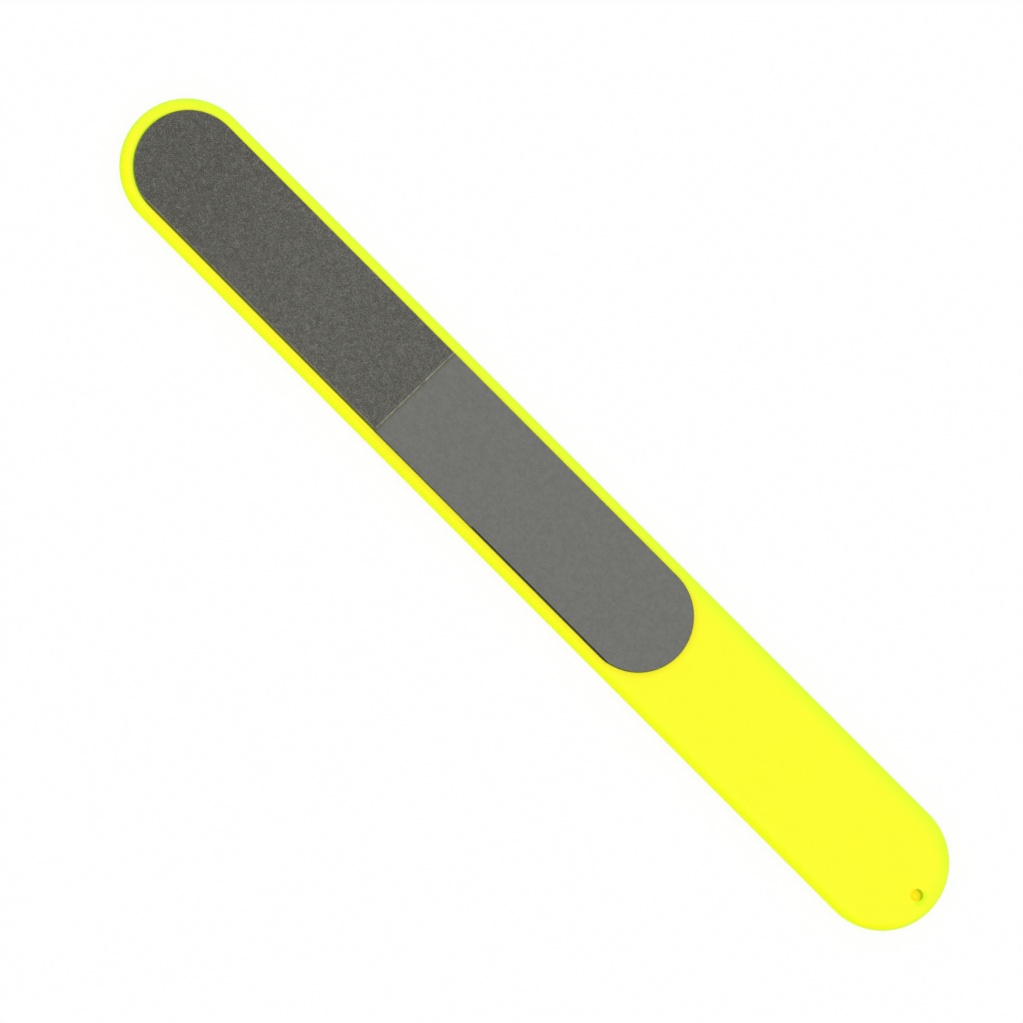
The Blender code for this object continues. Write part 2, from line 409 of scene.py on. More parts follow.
def set_inputs(tree, node, values):
    """Gives a node's inputs their values or links, by socket name or number."""
    for socket, value in values.items():
        if isinstance(value, bpy.types.NodeSocket):
            tree.links.new(value, node.inputs[socket])
        else:
            node.inputs[socket].default_value = value


def add_node(tree, kind, values, **settings):
    """A node with its settings, and its input values or links."""
    node = tree.nodes.new(kind)
    for name, value in settings.items():
        setattr(node, name, value)
    set_inputs(tree, node, values)
    return node


def compute(tree, operation, first, *others):
    """Numbers or sockets taken together by one operation from left to right, or one on its own."""
    for other in others or (0.0,):
        first = add_node(tree, "ShaderNodeMath", {0: first, 1: other}, operation=operation).outputs[0]
    return first


def product(tree, *factors):
    return compute(tree, "MULTIPLY", *factors)


def remap(tree, value, low, high, to_low=0.0, to_high=1.0, smooth=True):
    """The value from low to high as a number from to_low to to_high, held at both ends."""
    node = add_node(
        tree,
        "ShaderNodeMapRange",
        {"Value": value, "From Min": low, "From Max": high, "To Min": to_low, "To Max": to_high},
        interpolation_type="SMOOTHSTEP" if smooth else "LINEAR",
    )
    return node.outputs["Result"]


def scaled(span, size):
    return tuple(share * size for share in span)


def mix_colours(tree, share, first, second, blend="MIX"):
    """The first colour with its share of the second, each three channels or a socket."""
    first, second = (
        colour if isinstance(colour, bpy.types.NodeSocket) else (*colour, 1) for colour in (first, second)
    )
    node = add_node(
        tree, "ShaderNodeMix", {0: share, 6: first, 7: second}, data_type="RGBA", blend_type=blend
    )
    return node.outputs[2]


def stain(tree, share, colour, tint):
    """The colour darkened by its share of a tint."""
    return mix_colours(tree, share, colour, tint, blend="MULTIPLY")


def shade_of(colour, share):
    return tuple(min(1.0, share * channel) for channel in colour)


def pattern_space(tree, size):
    """Object coordinates counted in pattern sizes. The size is a length, or one for each axis."""
    if not hasattr(size, "__len__"):
        size = (size, size, size)
    coordinates = tree.nodes.new("ShaderNodeTexCoord")
    counted = {"Vector": coordinates.outputs["Object"], "Scale": tuple(1 / length for length in size)}
    return add_node(tree, "ShaderNodeMapping", counted).outputs["Vector"]


def noise(tree, size, detail=2.0, roughness=0.5):
    """Soft noise whose patches are about the given size."""
    node = add_node(
        tree,
        "ShaderNodeTexNoise",
        {"Vector": pattern_space(tree, size), "Scale": 1.0, "Detail": detail, "Roughness": roughness},
    )
    return node.outputs["Fac"]


def patches(tree, size, strength=1.0, detail=2.0):
    """Noise as patches with clear ground between them, up to the given strength."""
    return remap(tree, noise(tree, size, detail), *PATCH_SPAN, to_high=strength)


def cells(tree, size):
    """One random number for each patch of about the given size."""
    node = add_node(tree, "ShaderNodeTexVoronoi", {"Vector": pattern_space(tree, size), "Scale": 1.0})
    split = add_node(tree, "ShaderNodeSeparateColor", {"Color": node.outputs["Color"]})
    return split.outputs[0]


def set_finish(tree, shader, colour, roughness, height, depth):
    """Links a surface's colour and roughness, and a bump of the given pattern and depth."""
    bump = add_node(tree, "ShaderNodeBump", {"Height": height, "Distance": depth, "Strength": 1.0})
    normal = bump.outputs["Normal"]
    set_inputs(tree, shader, {"Base Color": colour, "Roughness": roughness, "Normal": normal})


def object_place(tree):
    """The X, Y and Z of object coordinates."""
    coordinates = tree.nodes.new("ShaderNodeTexCoord")
    return add_node(tree, "ShaderNodeSeparateXYZ", {0: coordinates.outputs["Object"]}).outputs


def inward_distance(tree, low_arc_x, high_arc_x, radius):
    """How far inside a bar's outline a point lies, seen from above."""
    place = object_place(tree)
    held = add_node(tree, "ShaderNodeClamp", {"Value": place["X"], "Min": low_arc_x, "Max": high_arc_x})
    past_arc = compute(tree, "SUBTRACT", place["X"], held.outputs[0])
    offset = add_node(tree, "ShaderNodeCombineXYZ", {"X": past_arc, "Y": place["Y"]})
    distance = add_node(tree, "ShaderNodeVectorMath", {0: offset.outputs[0]}, operation="LENGTH")
    return compute(tree, "SUBTRACT", radius, distance.outputs["Value"])


def reach_towards(tree, along, across, way):
    """How far a place on a face lies in one direction."""
    offset = add_node(tree, "ShaderNodeCombineXYZ", {"X": along, "Y": across}).outputs[0]
    dot = add_node(tree, "ShaderNodeVectorMath", {0: offset, 1: way}, operation="DOT_PRODUCT")
    return dot.outputs["Value"]


# Materials. A span is where a tint starts and where it is whole

# Noise, and what it tints: the clouds in the plastic, and the patches, clumps and washes of the grit
PATCH_SPAN = (0.35, 0.65)
CLOUD_TINT = (0.82, 0.88, 1.0)
PATCH_TINT = (1.0, 0.93, 0.82)
CLUMP_TINT = (0.79, 0.79, 0.79)
MOTTLE_TINT = (0.90, 0.90, 0.90)
WASH_TINT = (0.96, 0.97, 1.0)

# Painted shade along the edge of the plastic, greener and strongest towards +Y: across the body, past its
# arcs, and the strengths along its -Y side and at its ends; and along its -Y edge, painted shade that takes
# the blue out of the yellow
UPPER_SIDE = (0.3 * HALF_WIDTH, 0.9 * HALF_WIDTH)
LOWER_SIDE = (-0.1 * HALF_WIDTH, -0.7 * HALF_WIDTH)
OFF_LOWER_SIDE = (-0.9 * HALF_WIDTH, -0.3 * HALF_WIDTH)
BROAD_SIDE = (-0.6 * HALF_WIDTH, 0.4 * HALF_WIDTH)
ROUND_END = (0.0, 0.45 * HALF_WIDTH)
LOWER_END_SHARE = 0.7
LOWER_STRENGTHS = (0.34, 0.75)
NARROW_POWER = 1.3
BROAD_POWER = 0.6
BROAD_STRENGTH = 0.55
UNDER_EDGE = (0.0019, 0.0009)
UNDER_EDGE_TINT = (1.0, 1.0, 0.0)

# Painted shadow beside the sheets, in warm yellow: in from their outline, past the handle sheet's arc, and
# past either that arc or the middle line
WARM_RISE = (-0.0016, -0.0008)
WARM_FALL = (-0.0008, -0.0003)
WARM_AT_SHEET = 0.3
WARM_PAST_ARC = (0.0, 0.008)
WARM_AT_END = 0.6
WARM_LOWER_SIDE = (0.003, 0.010)
WARM_START = (TIP_ARC_X - 0.002, TIP_ARC_X + 0.004)

# Painted shade past the tip sheet's end, greener and leaning towards -Y, and painted shade in the gap round
# the sheets
TIP_GREEN = (-0.0009, -0.0001)
TIP_LEAN = 0.5
TIP_END = (0.5 * SHEET_RADIUS, 0.9 * SHEET_RADIUS)
GAP_EDGE = (-0.00019, -0.00012)
GAP_DEPTH = (FACE_HEIGHT - 0.00003, FACE_HEIGHT - 0.00010)

# Gate recess, with its painted halo, painted shade and painted shadow: directions on the face, and spans in
# metres or in shares of its radius or its lip
FRONT_HALF = (MIDDLE_HEIGHT - 0.5 * HALF_THICKNESS, MIDDLE_HEIGHT)
HALO_WAY = (0.98, 0.10, 0.0)
HALO_BAND = (-0.0017, -0.0003)
HALO_POWER = 1.6
HALO_RADII = (0.2, 1.0)
GATE_LIPS = (-0.8, 0.7)
SHADE_WAY = (0.42, 0.91, 0.0)
SHADE_LEAN = 0.15
CRESCENT_RADII = (0.90, 1.10)
SHADE_RADII = (0.15, 0.65)
SHADE_LIPS = (-0.65, -0.25)

# Painted glow, as emission: everywhere, at the edge, along the rim beside the sheets, and in the gate
# recess
GLOW = 0.010
EDGE_GLOW = 0.025
RIM_GLOW = 0.025
RIM_SIDE = (SHEET_RADIUS - 0.001, SHEET_RADIUS + 0.001)
GATE_GLOW = 0.13

# Darker tone: towards the papers' ±Y sides, so at both ends of their cut, on the grit towards the tip, and
# on the fine coat at the joint; and painted shade on the -Y rim of the papers' cut
PAPER_ENDS = (0.65 * SHEET_RADIUS, 0.98 * SHEET_RADIUS)
PAPER_END_TINT = (0.76, 0.81, 0.90)
PAPER_RIM_SHADE = (0.00041 - SHEET_RADIUS, 0.00031 - SHEET_RADIUS)
TIP_DARKENING = (-0.070, -0.112)
TIP_TINT = (0.90, 0.89, 0.88)
JOINT_DARKENING = (JOINT_X + 0.00075, JOINT_X + 0.00030)
JOINT_TINT = (0.86, 0.83, 0.70)


def painted_edge_shade(tree, place, inward, sizes):
    """Painted shade along the plastic's edge, as how green it is: far in from its +Y side, and more
    narrowly from the rest of its edge.
    """
    past_arc = compute(tree, "SUBTRACT", compute(tree, "ABSOLUTE", place["X"]), BODY_ARC_X)
    at_end = remap(tree, past_arc, *ROUND_END)
    lower_reaches = (sizes.lower_tint, LOWER_END_SHARE * sizes.end_tint)
    lower_reach = remap(tree, at_end, 0.0, 1.0, *lower_reaches, smooth=False)
    from_upper = remap(tree, place["Y"], *UPPER_SIDE, sizes.end_tint, sizes.upper_tint)
    from_lower = remap(tree, place["Y"], *LOWER_SIDE, sizes.end_tint, lower_reach)
    reach = compute(tree, "ADD", from_upper, compute(tree, "SUBTRACT", from_lower, sizes.end_tint))
    depth = remap(tree, compute(tree, "DIVIDE", inward, reach), 1.0, 0.0, smooth=False)
    lower_strength = remap(tree, at_end, 0.0, 1.0, *LOWER_STRENGTHS, smooth=False)
    strength = remap(tree, place["Y"], *OFF_LOWER_SIDE, to_low=lower_strength)
    narrow = product(tree, compute(tree, "POWER", depth, NARROW_POWER), strength)
    broad = compute(tree, "POWER", remap(tree, inward, sizes.broad_tint, 0.0, smooth=False), BROAD_POWER)
    broad = product(tree, broad, remap(tree, place["Y"], *BROAD_SIDE, to_high=BROAD_STRENGTH), at_end)
    return compute(tree, "MAXIMUM", narrow, broad)


def sheet_tints(tree, place, colour, finish):
    """Painted shade beside the sheets as warmer plastic, painted shade past the tip sheet's end as greener
    plastic, and painted shade in their gap.
    """
    inward = inward_distance(tree, TIP_ARC_X, HANDLE_ARC_X, SHEET_RADIUS)
    past_sheet = compute(tree, "SUBTRACT", place["X"], HANDLE_ARC_X)
    past_side = product(tree, place["Y"], -1)
    # Painted shadow beside the sheets
    warm = product(
        tree,
        remap(tree, inward, *WARM_RISE),
        remap(tree, inward, *WARM_FALL, 1.0, WARM_AT_SHEET),
        remap(tree, past_sheet, *WARM_PAST_ARC, 1.0, WARM_AT_END),
        remap(tree, compute(tree, "MAXIMUM", past_sheet, past_side), *WARM_LOWER_SIDE),
        remap(tree, place["X"], *WARM_START),
    )
    colour = mix_colours(tree, warm, colour, finish.plastic_warm_shade)
    # Painted shade past the tip sheet's end
    past_tip = compute(tree, "SUBTRACT", TIP_ARC_X, place["X"])
    leaning = compute(tree, "ADD", past_tip, product(tree, past_side, TIP_LEAN))
    at_tip = remap(tree, leaning, *TIP_END)
    green = product(tree, remap(tree, inward, *TIP_GREEN), at_tip)
    colour = mix_colours(tree, green, colour, finish.plastic_tip_shade)
    # Painted shade in the gap round the sheets
    gap_shade_colour = mix_colours(tree, at_tip, finish.plastic_gap_shade, finish.tip_gap_shade)
    in_gap = product(tree, remap(tree, inward, *GAP_EDGE), remap(tree, place["Z"], *GAP_DEPTH))
    return mix_colours(tree, in_gap, colour, gap_shade_colour)


def gate_tints(tree, place, colour, finish, sizes):
    """Painted light and shade at the gate recess: a green halo of painted light past its far side, painted
    shade as deeper yellow in it, and a painted olive shadow along its +Y side.
    """
    gate_x = BODY_HIGH.x - sizes.gate_from_end
    radius = sizes.gate_diameter / 2
    inward = inward_distance(tree, gate_x, gate_x, radius)
    along = compute(tree, "SUBTRACT", place["X"], gate_x)
    in_front = remap(tree, place["Z"], *FRONT_HALF)
    past = reach_towards(tree, along, place["Y"], HALO_WAY)
    # Painted light: a green halo past the recess's far side
    halo = product(
        tree,
        compute(tree, "POWER", remap(tree, inward, *HALO_BAND, smooth=False), HALO_POWER),
        remap(tree, past, *scaled(HALO_RADII, radius)),
        in_front,
    )
    colour = mix_colours(tree, halo, colour, finish.gate_halo_light)
    # Painted shade: deeper yellow inside the recess
    is_inside = product(tree, remap(tree, inward, *scaled(GATE_LIPS, sizes.gate_lip)), in_front)
    colour = mix_colours(tree, is_inside, colour, finish.gate_floor_shade)
    # Painted shadow along the recess's +Y side
    upwards = reach_towards(tree, along, place["Y"], SHADE_WAY)
    distance = compute(tree, "SUBTRACT", radius, inward)
    crescent = compute(tree, "ADD", distance, product(tree, upwards, SHADE_LEAN))
    shade = product(
        tree,
        remap(tree, crescent, *scaled(CRESCENT_RADII, radius)),
        remap(tree, upwards, *scaled(SHADE_RADII, radius)),
        remap(tree, inward, *scaled(SHADE_LIPS, sizes.gate_lip)),
        in_front,
    )
    return mix_colours(tree, shade, colour, finish.gate_shade), is_inside


def painted_glow(tree, place, colour, edge, is_inside):
    """Painted glow, as emission from the plastic's colour: a little everywhere, more along its edges, along
    the rim beside the sheets and in the gate recess.
    """
    side = compute(tree, "ABSOLUTE", place["Y"])
    glow = compute(
        tree,
        "ADD",
        GLOW,
        product(tree, edge, EDGE_GLOW),
        remap(tree, side, *RIM_SIDE, to_high=RIM_GLOW),
        product(tree, is_inside, GATE_GLOW),
    )
    return mix_colours(tree, glow, (0.0, 0.0, 0.0), colour)


def plastic_material(finish, sizes):
    """Satin fluorescent plastic with painted shade at the edge, beside the sheets and in the gate recess, a
    painted halo of light past that recess, and a painted glow.
    """
    material, tree, shader = new_material("moulded_plastic")
    place = object_place(tree)
    inward = inward_distance(tree, -BODY_ARC_X, BODY_ARC_X, HALF_WIDTH)
    # Painted shade along the edge, greenest towards +Y
    edge = painted_edge_shade(tree, place, inward, sizes)
    colour = mix_colours(tree, edge, finish.plastic, finish.plastic_edge_shade)
    # Painted shade along the -Y edge, which takes the blue out of the yellow
    lower_edge_shade = product(tree, remap(tree, place["Y"], *LOWER_SIDE), remap(tree, inward, *UNDER_EDGE))
    colour = stain(tree, lower_edge_shade, colour, UNDER_EDGE_TINT)
    colour = sheet_tints(tree, place, colour, finish)
    colour, is_inside = gate_tints(tree, place, colour, finish, sizes)
    cloudy = compute(tree, "ADD", noise(tree, size=0.006, detail=3), noise(tree, size=0.0011))
    colour = stain(tree, remap(tree, cloudy, 0.7, 1.3, to_high=0.07), colour, CLOUD_TINT)
    handled = remap(tree, noise(tree, size=0.009, detail=4), 0.35, 0.7, to_low=0.40, to_high=0.50)
    texture = noise(tree, size=0.00035, detail=3)
    set_finish(tree, shader, colour, handled, height=texture, depth=0.000006)
    # Painted glow, as emission
    painted_glow_colour = painted_glow(tree, place, colour, edge, is_inside)
    set_inputs(tree, shader, {"Emission Color": painted_glow_colour, "Emission Strength": 1.0})
    set_inputs(tree, shader, {"Specular IOR Level": 0.2})
    return material


def paper_material(name, colour, rim_shade):
    """Paper whose fibres show as short streaks along its cut edges, darker towards its ±Y sides, with
    painted shade along its -Y rim.
    """
    material, tree, shader = new_material(name)
    fibres = noise(tree, size=(0.0010, 0.0010, 0.00005), detail=4, roughness=0.7)
    streaks = remap(tree, fibres, 0.3, 0.7)
    paper = mix_colours(tree, streaks, shade_of(colour, 0.6), shade_of(colour, 1.35))
    across = object_place(tree)["Y"]
    # Darker towards the ±Y sides, so at both ends of the cut
    towards_sides = remap(tree, compute(tree, "ABSOLUTE", across), *PAPER_ENDS)
    paper = stain(tree, towards_sides, paper, PAPER_END_TINT)
    # Painted shade along the -Y rim
    paper = mix_colours(tree, remap(tree, across, *PAPER_RIM_SHADE), paper, rim_shade)
    matt = remap(tree, fibres, 0.2, 0.8, to_low=0.80, to_high=0.95)
    fuzz = noise(tree, size=(0.0004, 0.0004, 0.00004), detail=3)
    set_finish(tree, shader, paper, matt, height=fuzz, depth=0.00002)
    return material


def adhesive_material(colour):
    """Bonding film, slightly clouded by the pressing."""
    material, tree, shader = new_material("bonding_film")
    clouds = noise(tree, size=0.0015, detail=4)
    film = mix_colours(tree, remap(tree, clouds, *PATCH_SPAN), shade_of(colour, 0.75), colour)
    satin = remap(tree, clouds, 0.3, 0.7, to_low=0.35, to_high=0.6)
    set_finish(tree, shader, film, satin, height=clouds, depth=0.00001)
    return material


def grain_material(name, colour, resin):
    """Separate grains, each with its own shade from the mesh, in a darker resin."""
    material, tree, shader = new_material(name)
    shade = add_node(tree, "ShaderNodeAttribute", {}, attribute_name="grain_shade").outputs["Fac"]
    shades = remap(tree, shade, *GRAIN_SHADES, smooth=False)
    grains = mix_colours(tree, shades, shade_of(colour, 0.90), shade_of(colour, 1.12))
    is_grain = remap(tree, shade, 0.05, 0.15)
    coat = mix_colours(tree, is_grain, resin, grains)
    coat = stain(tree, patches(tree, size=0.0022, strength=0.35), coat, PATCH_TINT)
    coat = stain(tree, patches(tree, size=0.0009, detail=1), coat, CLUMP_TINT)
    # Darker towards the tip
    towards_tip = remap(tree, object_place(tree)["X"], *TIP_DARKENING)
    coat = stain(tree, towards_tip, coat, TIP_TINT)
    facets = remap(tree, shade, 0.0, 1.0, to_low=0.75, to_high=0.5)
    set_finish(tree, shader, coat, facets, height=noise(tree, size=0.00008), depth=0.000008)
    return material


def coat_material(name, colour, resin, grain_size):
    """A close coat of grains too small to model: speckled, faintly mottled, and darker near the joint."""
    material, tree, shader = new_material(name)
    speckle = noise(tree, grain_size, detail=3, roughness=0.65)
    coat = mix_colours(tree, remap(tree, speckle, 0.15, 0.85), resin, shade_of(colour, 1.25))
    mottling = remap(tree, noise(tree, size=0.0025, detail=3), 0.3, 0.7, to_high=0.3)
    coat = stain(tree, mottling, coat, MOTTLE_TINT)
    coat = stain(tree, patches(tree, size=0.0009, detail=1), coat, MOTTLE_TINT)
    coat = stain(tree, patches(tree, size=0.004, strength=0.5), coat, WASH_TINT)
    place = object_place(tree)
    # Darker near the joint
    past_cut = compute(tree, "SUBTRACT", place["X"], product(tree, place["Y"], CUT_SKEW))
    coat = stain(tree, remap(tree, past_cut, *JOINT_DARKENING), coat, JOINT_TINT)
    facets = remap(tree, cells(tree, grain_size), 0.0, 1.0, to_low=0.55, to_high=0.85)
    set_finish(tree, shader, coat, facets, height=speckle, depth=0.3 * grain_size)
    return material


# Handle


def crown_place(sizes, turn):
    """How far in from the outline, and how far above the parting land, the edge's section lies."""
    power = 2 / sizes.crown_exponent
    inward = (sizes.crown_width - sizes.ridge_height) * (1 - math.cos(turn) ** power)
    rise = (HALF_THICKNESS - sizes.parting_land / 2) * math.sin(turn) ** power
    return inward, rise


def raise_crown(body, sizes, side):
    """Steps one cap in from the parting ridge, over the parting land and up the crown."""
    select_in_edit_mode(body, "FACE", faces_towards(side))
    step_cap(sizes.ridge_height, 0)
    step_cap(0, (sizes.parting_land - sizes.ridge_width) / 2)
    last_inward, last_rise = 0.0, 0.0
    for step in range(1, CROWN_STEPS + 1):
        inward, rise = crown_place(sizes, QUARTER_TURN * step / CROWN_STEPS)
        step_cap(inward - last_inward, rise - last_rise)
        last_inward, last_rise = inward, rise
    step_cap(sizes.sheet_clearance, 0)
    leave_edit_mode()


def recess_cutter(sizes, side):
    """A bar that clears the recess in one face, the clearance larger all round than the sheets."""
    radius = SHEET_RADIUS + sizes.sheet_clearance
    floor = MIDDLE_HEIGHT + side * RECESS_FLOOR_LEVEL
    clear = MIDDLE_HEIGHT + side * (HALF_THICKNESS + CUT_OVERRUN)
    low_x, high_x = TIP_ARC_X - radius, HANDLE_ARC_X + radius
    cutter = add_bar("recess_cutter", low_x, high_x, radius, min(floor, clear), max(floor, clear))
    if side == FRONT:
        cutter.location.y = sizes.recess_shift
        apply_place(cutter)
    return cutter


def round_caps_towards(side):
    return lambda face: len(face.verts) > 4 and face.normal.z * side > 0


def gate_cutter(sizes):
    """A turned cutter for the gate recess: flared at the face for the soft lip, and hollow for the nub."""
    gate_x = BODY_HIGH.x - sizes.gate_from_end
    radius = sizes.gate_diameter / 2
    floor = HALF_THICKNESS - sizes.gate_depth
    neck = HALF_THICKNESS - sizes.gate_lip
    deselect_all()
    bpy.ops.mesh.primitive_cylinder_add(
        vertices=2 * ARC_SEGMENTS,
        radius=radius,
        depth=neck - floor,
        location=(gate_x, 0, MIDDLE_HEIGHT + (neck + floor) / 2),
    )
    cutter = bpy.context.object
    apply_place(cutter)
    select_in_edit_mode(cutter, "FACE", round_caps_towards(FRONT))
    flare_lip(gate_x, radius, neck, sizes.gate_lip)
    select_in_edit_mode(cutter, "FACE", round_caps_towards(BACK))
    hollow_nub(radius, sizes.nub_diameter / 2, sizes.nub_height)
    leave_edit_mode()
    return cutter


def flare_lip(gate_x, radius, neck, lip):
    """Lifts and widens the selected cap along a quarter circle, and on past the face."""
    reached_radius, reached_rise = radius, 0.0
    for step in range(1, FLARE_STEPS):
        turn = QUARTER_TURN * step / FLARE_STEPS
        next_radius, next_rise = radius + lip * (1 - math.cos(turn)), lip * math.sin(turn)
        lift_cap(gate_x, next_rise - reached_rise, next_radius / reached_radius, neck + next_rise)
        reached_radius, reached_rise = next_radius, next_rise
    flare = (reached_radius + CUT_OVERRUN) / reached_radius
    lift_cap(gate_x, CUT_OVERRUN / 2, flare, neck + reached_rise + CUT_OVERRUN / 2)


def lift_cap(centre_x, rise, widening, level):
    """Extrudes the selected cap upwards and widens it about the gate's axis."""
    bpy.ops.mesh.extrude_region_move(TRANSFORM_OT_translate={"value": (0, 0, rise)})
    centre = (centre_x, 0, MIDDLE_HEIGHT + level)
    bpy.ops.transform.resize(value=(widening, widening, 1), center_override=centre)


def hollow_nub(radius, nub_radius, nub_height):
    """Insets the selected cap to the nub's foot, and sinks it there as a low dome."""
    step_cap(radius - nub_radius, 0)
    reached_radius, reached_rise = nub_radius, 0.0
    for step in range(1, NUB_STEPS):
        turn = QUARTER_TURN * step / NUB_STEPS
        next_radius, next_rise = nub_radius * math.cos(turn), nub_height * math.sin(turn)
        step_cap(reached_radius - next_radius, reached_rise - next_rise)
        reached_radius, reached_rise = next_radius, next_rise


def soften_recess_lip(body, sizes):
    """Rounds the edge where each recess's wall meets the face."""
    radius = SHEET_RADIUS + sizes.sheet_clearance

    def is_lip(edge):
        if len(edge.link_faces) != 2 or edge.calc_face_angle(0.0) < SMOOTH_ANGLE:
            return False
        for vertex in edge.verts:
            held_x = min(max(vertex.co.x, TIP_ARC_X), HANDLE_ARC_X)
            from_middle = vertex.co.y - (sizes.recess_shift if vertex.co.z > MIDDLE_HEIGHT else 0.0)
            distance = math.hypot(vertex.co.x - held_x, from_middle)
            level = abs(vertex.co.z - MIDDLE_HEIGHT)
            if abs(distance - radius) > 5 * WELD_DISTANCE or level < RECESS_FLOOR_LEVEL + WELD_DISTANCE:
                return False
        return True

    select_in_edit_mode(body, "EDGE", is_lip)
    bpy.ops.mesh.bevel(offset_type="OFFSET", offset=sizes.recess_lip, segments=2, affect="EDGES")
    leave_edit_mode()


def build_handle(sizes, finish):
    ridge = sizes.ridge_width / 2
    low_z, high_z = MIDDLE_HEIGHT - ridge, MIDDLE_HEIGHT + ridge
    body = add_bar("moulded_handle", BODY_LOW.x, BODY_HIGH.x, HALF_WIDTH, low_z, high_z)
    for side in (FRONT, BACK):
        raise_crown(body, sizes, side)
    for side in (FRONT, BACK):
        cut_away(body, recess_cutter(sizes, side))
    cut_away(body, gate_cutter(sizes))
    soften_recess_lip(body, sizes)
    recalculate_normals(body)
    smooth_by_angle(body)
    even_shading = body.modifiers.new("even_shading", "WEIGHTED_NORMAL")
    even_shading.keep_sharp = True
    apply_modifier(body, even_shading)
    finish_piece(body, plastic_material(finish, sizes), "handle_plastic", "handle_body")


# Sheets


def sheet_layer(sheet, layer):
    """One layer of a sheet, from the frame: its cut, its arc's centre, its radius and its levels."""
    low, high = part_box(f"{sheet.name}_{layer}")
    radius = (high.y - low.y) / 2
    if sheet.end == TOWARDS_TIP:
        return Layer(high.x, low.x + radius, radius, low.z, high.z)
    return Layer(low.x, high.x - radius, radius, low.z, high.z)


def inner_and_outer(sheet, layer):
    """A layer's level towards the body and its level away from it."""
    if sheet.side == FRONT:
        return layer.low_z, layer.high_z
    return layer.high_z, layer.low_z


def add_sheet_grid(name, sheet, layer, cell, ragged=0.0):
    """A plate cut to a layer's outline, its faces divided into cells, with the cut as ragged as asked.

    Every row runs from the square cut to the round end, and rows stand at even angles round that end.
    """
    reach = abs(layer.arc_x - layer.cut_x) + layer.radius
    rows = round(math.pi * layer.radius / cell)
    deselect_all()
    bpy.ops.mesh.primitive_grid_add(x_subdivisions=round(reach / cell), y_subdivisions=rows, size=1)
    plate = bpy.context.object
    plate.name = name
    waves = len(RAGGED_WAVES)
    for vertex in plate.data.vertices:
        turn = math.pi * vertex.co.y
        row_end = layer.arc_x + sheet.end * layer.radius * math.cos(turn)
        wander = sum(math.sin(count * turn + start) for count, start in RAGGED_WAVES)
        row_start = layer.cut_x + sheet.end * ragged * (wander + waves) / (2 * waves)
        share = vertex.co.x + 0.5
        place_y = layer.radius * math.sin(turn)
        vertex.co = (row_start + share * (row_end - row_start), place_y, layer.low_z)
    make_active(plate)
    bpy.ops.object.mode_set(mode="EDIT")
    bpy.ops.mesh.select_all(action="SELECT")
    thickness = layer.high_z - layer.low_z
    bpy.ops.mesh.extrude_region_move(TRANSFORM_OT_translate={"value": (0, 0, thickness)})
    leave_edit_mode()
    recalculate_normals(plate)
    return plate


def close_hidden_face(plate, side):
    """Joins the faces on the hidden side of a plate into one."""
    select_in_edit_mode(plate, "FACE", faces_towards(-side))
    bpy.ops.mesh.dissolve_faces()
    leave_edit_mode()


def inside_distance(place, sheet, layer):
    """How far inside a layer's outline a point lies."""
    past_arc = max(0.0, (place.x - layer.arc_x) * sheet.end)
    from_cut = (place.x - layer.cut_x) * sheet.end
    return min(from_cut, layer.radius - math.hypot(past_arc, place.y))


def relieve_face(plate, sheet, layer, face_z, height, size):
    """Displaces a coat's face by soft noise that dies out towards the outline."""
    margin = 2 * size
    group = plate.vertex_groups.new(name="face")
    for vertex in plate.data.vertices:
        if abs(vertex.co.z - face_z) < WELD_DISTANCE:
            weight = inside_distance(vertex.co, sheet, layer) / margin
            group.add([vertex.index], min(1.0, max(0.0, weight)), "REPLACE")
    texture = bpy.data.textures.new(plate.name + "_relief", "CLOUDS")
    texture.noise_scale = size
    texture.noise_depth = 1
    relief = plate.modifiers.new("relief", "DISPLACE")
    relief.texture = texture
    relief.texture_coords = "LOCAL"
    relief.direction = "Z"
    relief.mid_level = 1.0
    relief.strength = sheet.side * height
    relief.vertex_group = group.name
    apply_modifier(plate, relief)
    plate.vertex_groups.clear()


def add_cut_strip(sizes, high_z):
    """The strip that the cutter left along the fine sheet's -Y edge, with square ends."""
    outer_y = -(SHEET_RADIUS + sizes.strip_overhang)
    inner_y = -(SHEET_RADIUS - sizes.strip_width)
    low_z = FACE_HEIGHT + sizes.strip_rise
    return add_block((sizes.strip_start, outer_y, low_z), (sizes.strip_end, inner_y, high_z))


def set_back_edge(coat, edge_y, start_x=-math.inf):
    """Moves a coat's -Y edge in to a line, from one place along it towards the handle."""
    for vertex in coat.data.vertices:
        if vertex.co.x > start_x and vertex.co.y < edge_y:
            vertex.co.y = edge_y


def settle_layer(layer, sheet, sizes):
    """Skews a layer's cut, and moves a front layer to where its sheet was bonded."""
    for vertex in layer.data.vertices:
        nearness = 1 - abs(vertex.co.x - JOINT_X) / SKEW_REACH
        vertex.co.x += CUT_SKEW * vertex.co.y * max(0.0, nearness)
    if sheet.side == FRONT:
        layer.location.y = sizes.coarse_shift if sheet.end == TOWARDS_TIP else sizes.fine_shift
        apply_place(layer)


def build_paper(sheet, sizes, material):
    layer = sheet_layer(sheet, "backing_paper")
    if sheet.end == TOWARDS_TIP:
        layer = layer._replace(cut_x=layer.cut_x + sizes.paper_creep)
    paper = add_sheet_grid(f"{sheet.name}_paper", sheet, layer, 2 * sizes.bed_cell)
    if sheet == FRONT_FINE:
        join_pieces(paper, add_cut_strip(sizes, layer.high_z + BOND_GAP / 2))
    settle_layer(paper, sheet, sizes)
    smooth_by_angle(paper)
    finish_piece(paper, material, sheet.paper_slot, f"{sheet.name}_backing_paper")


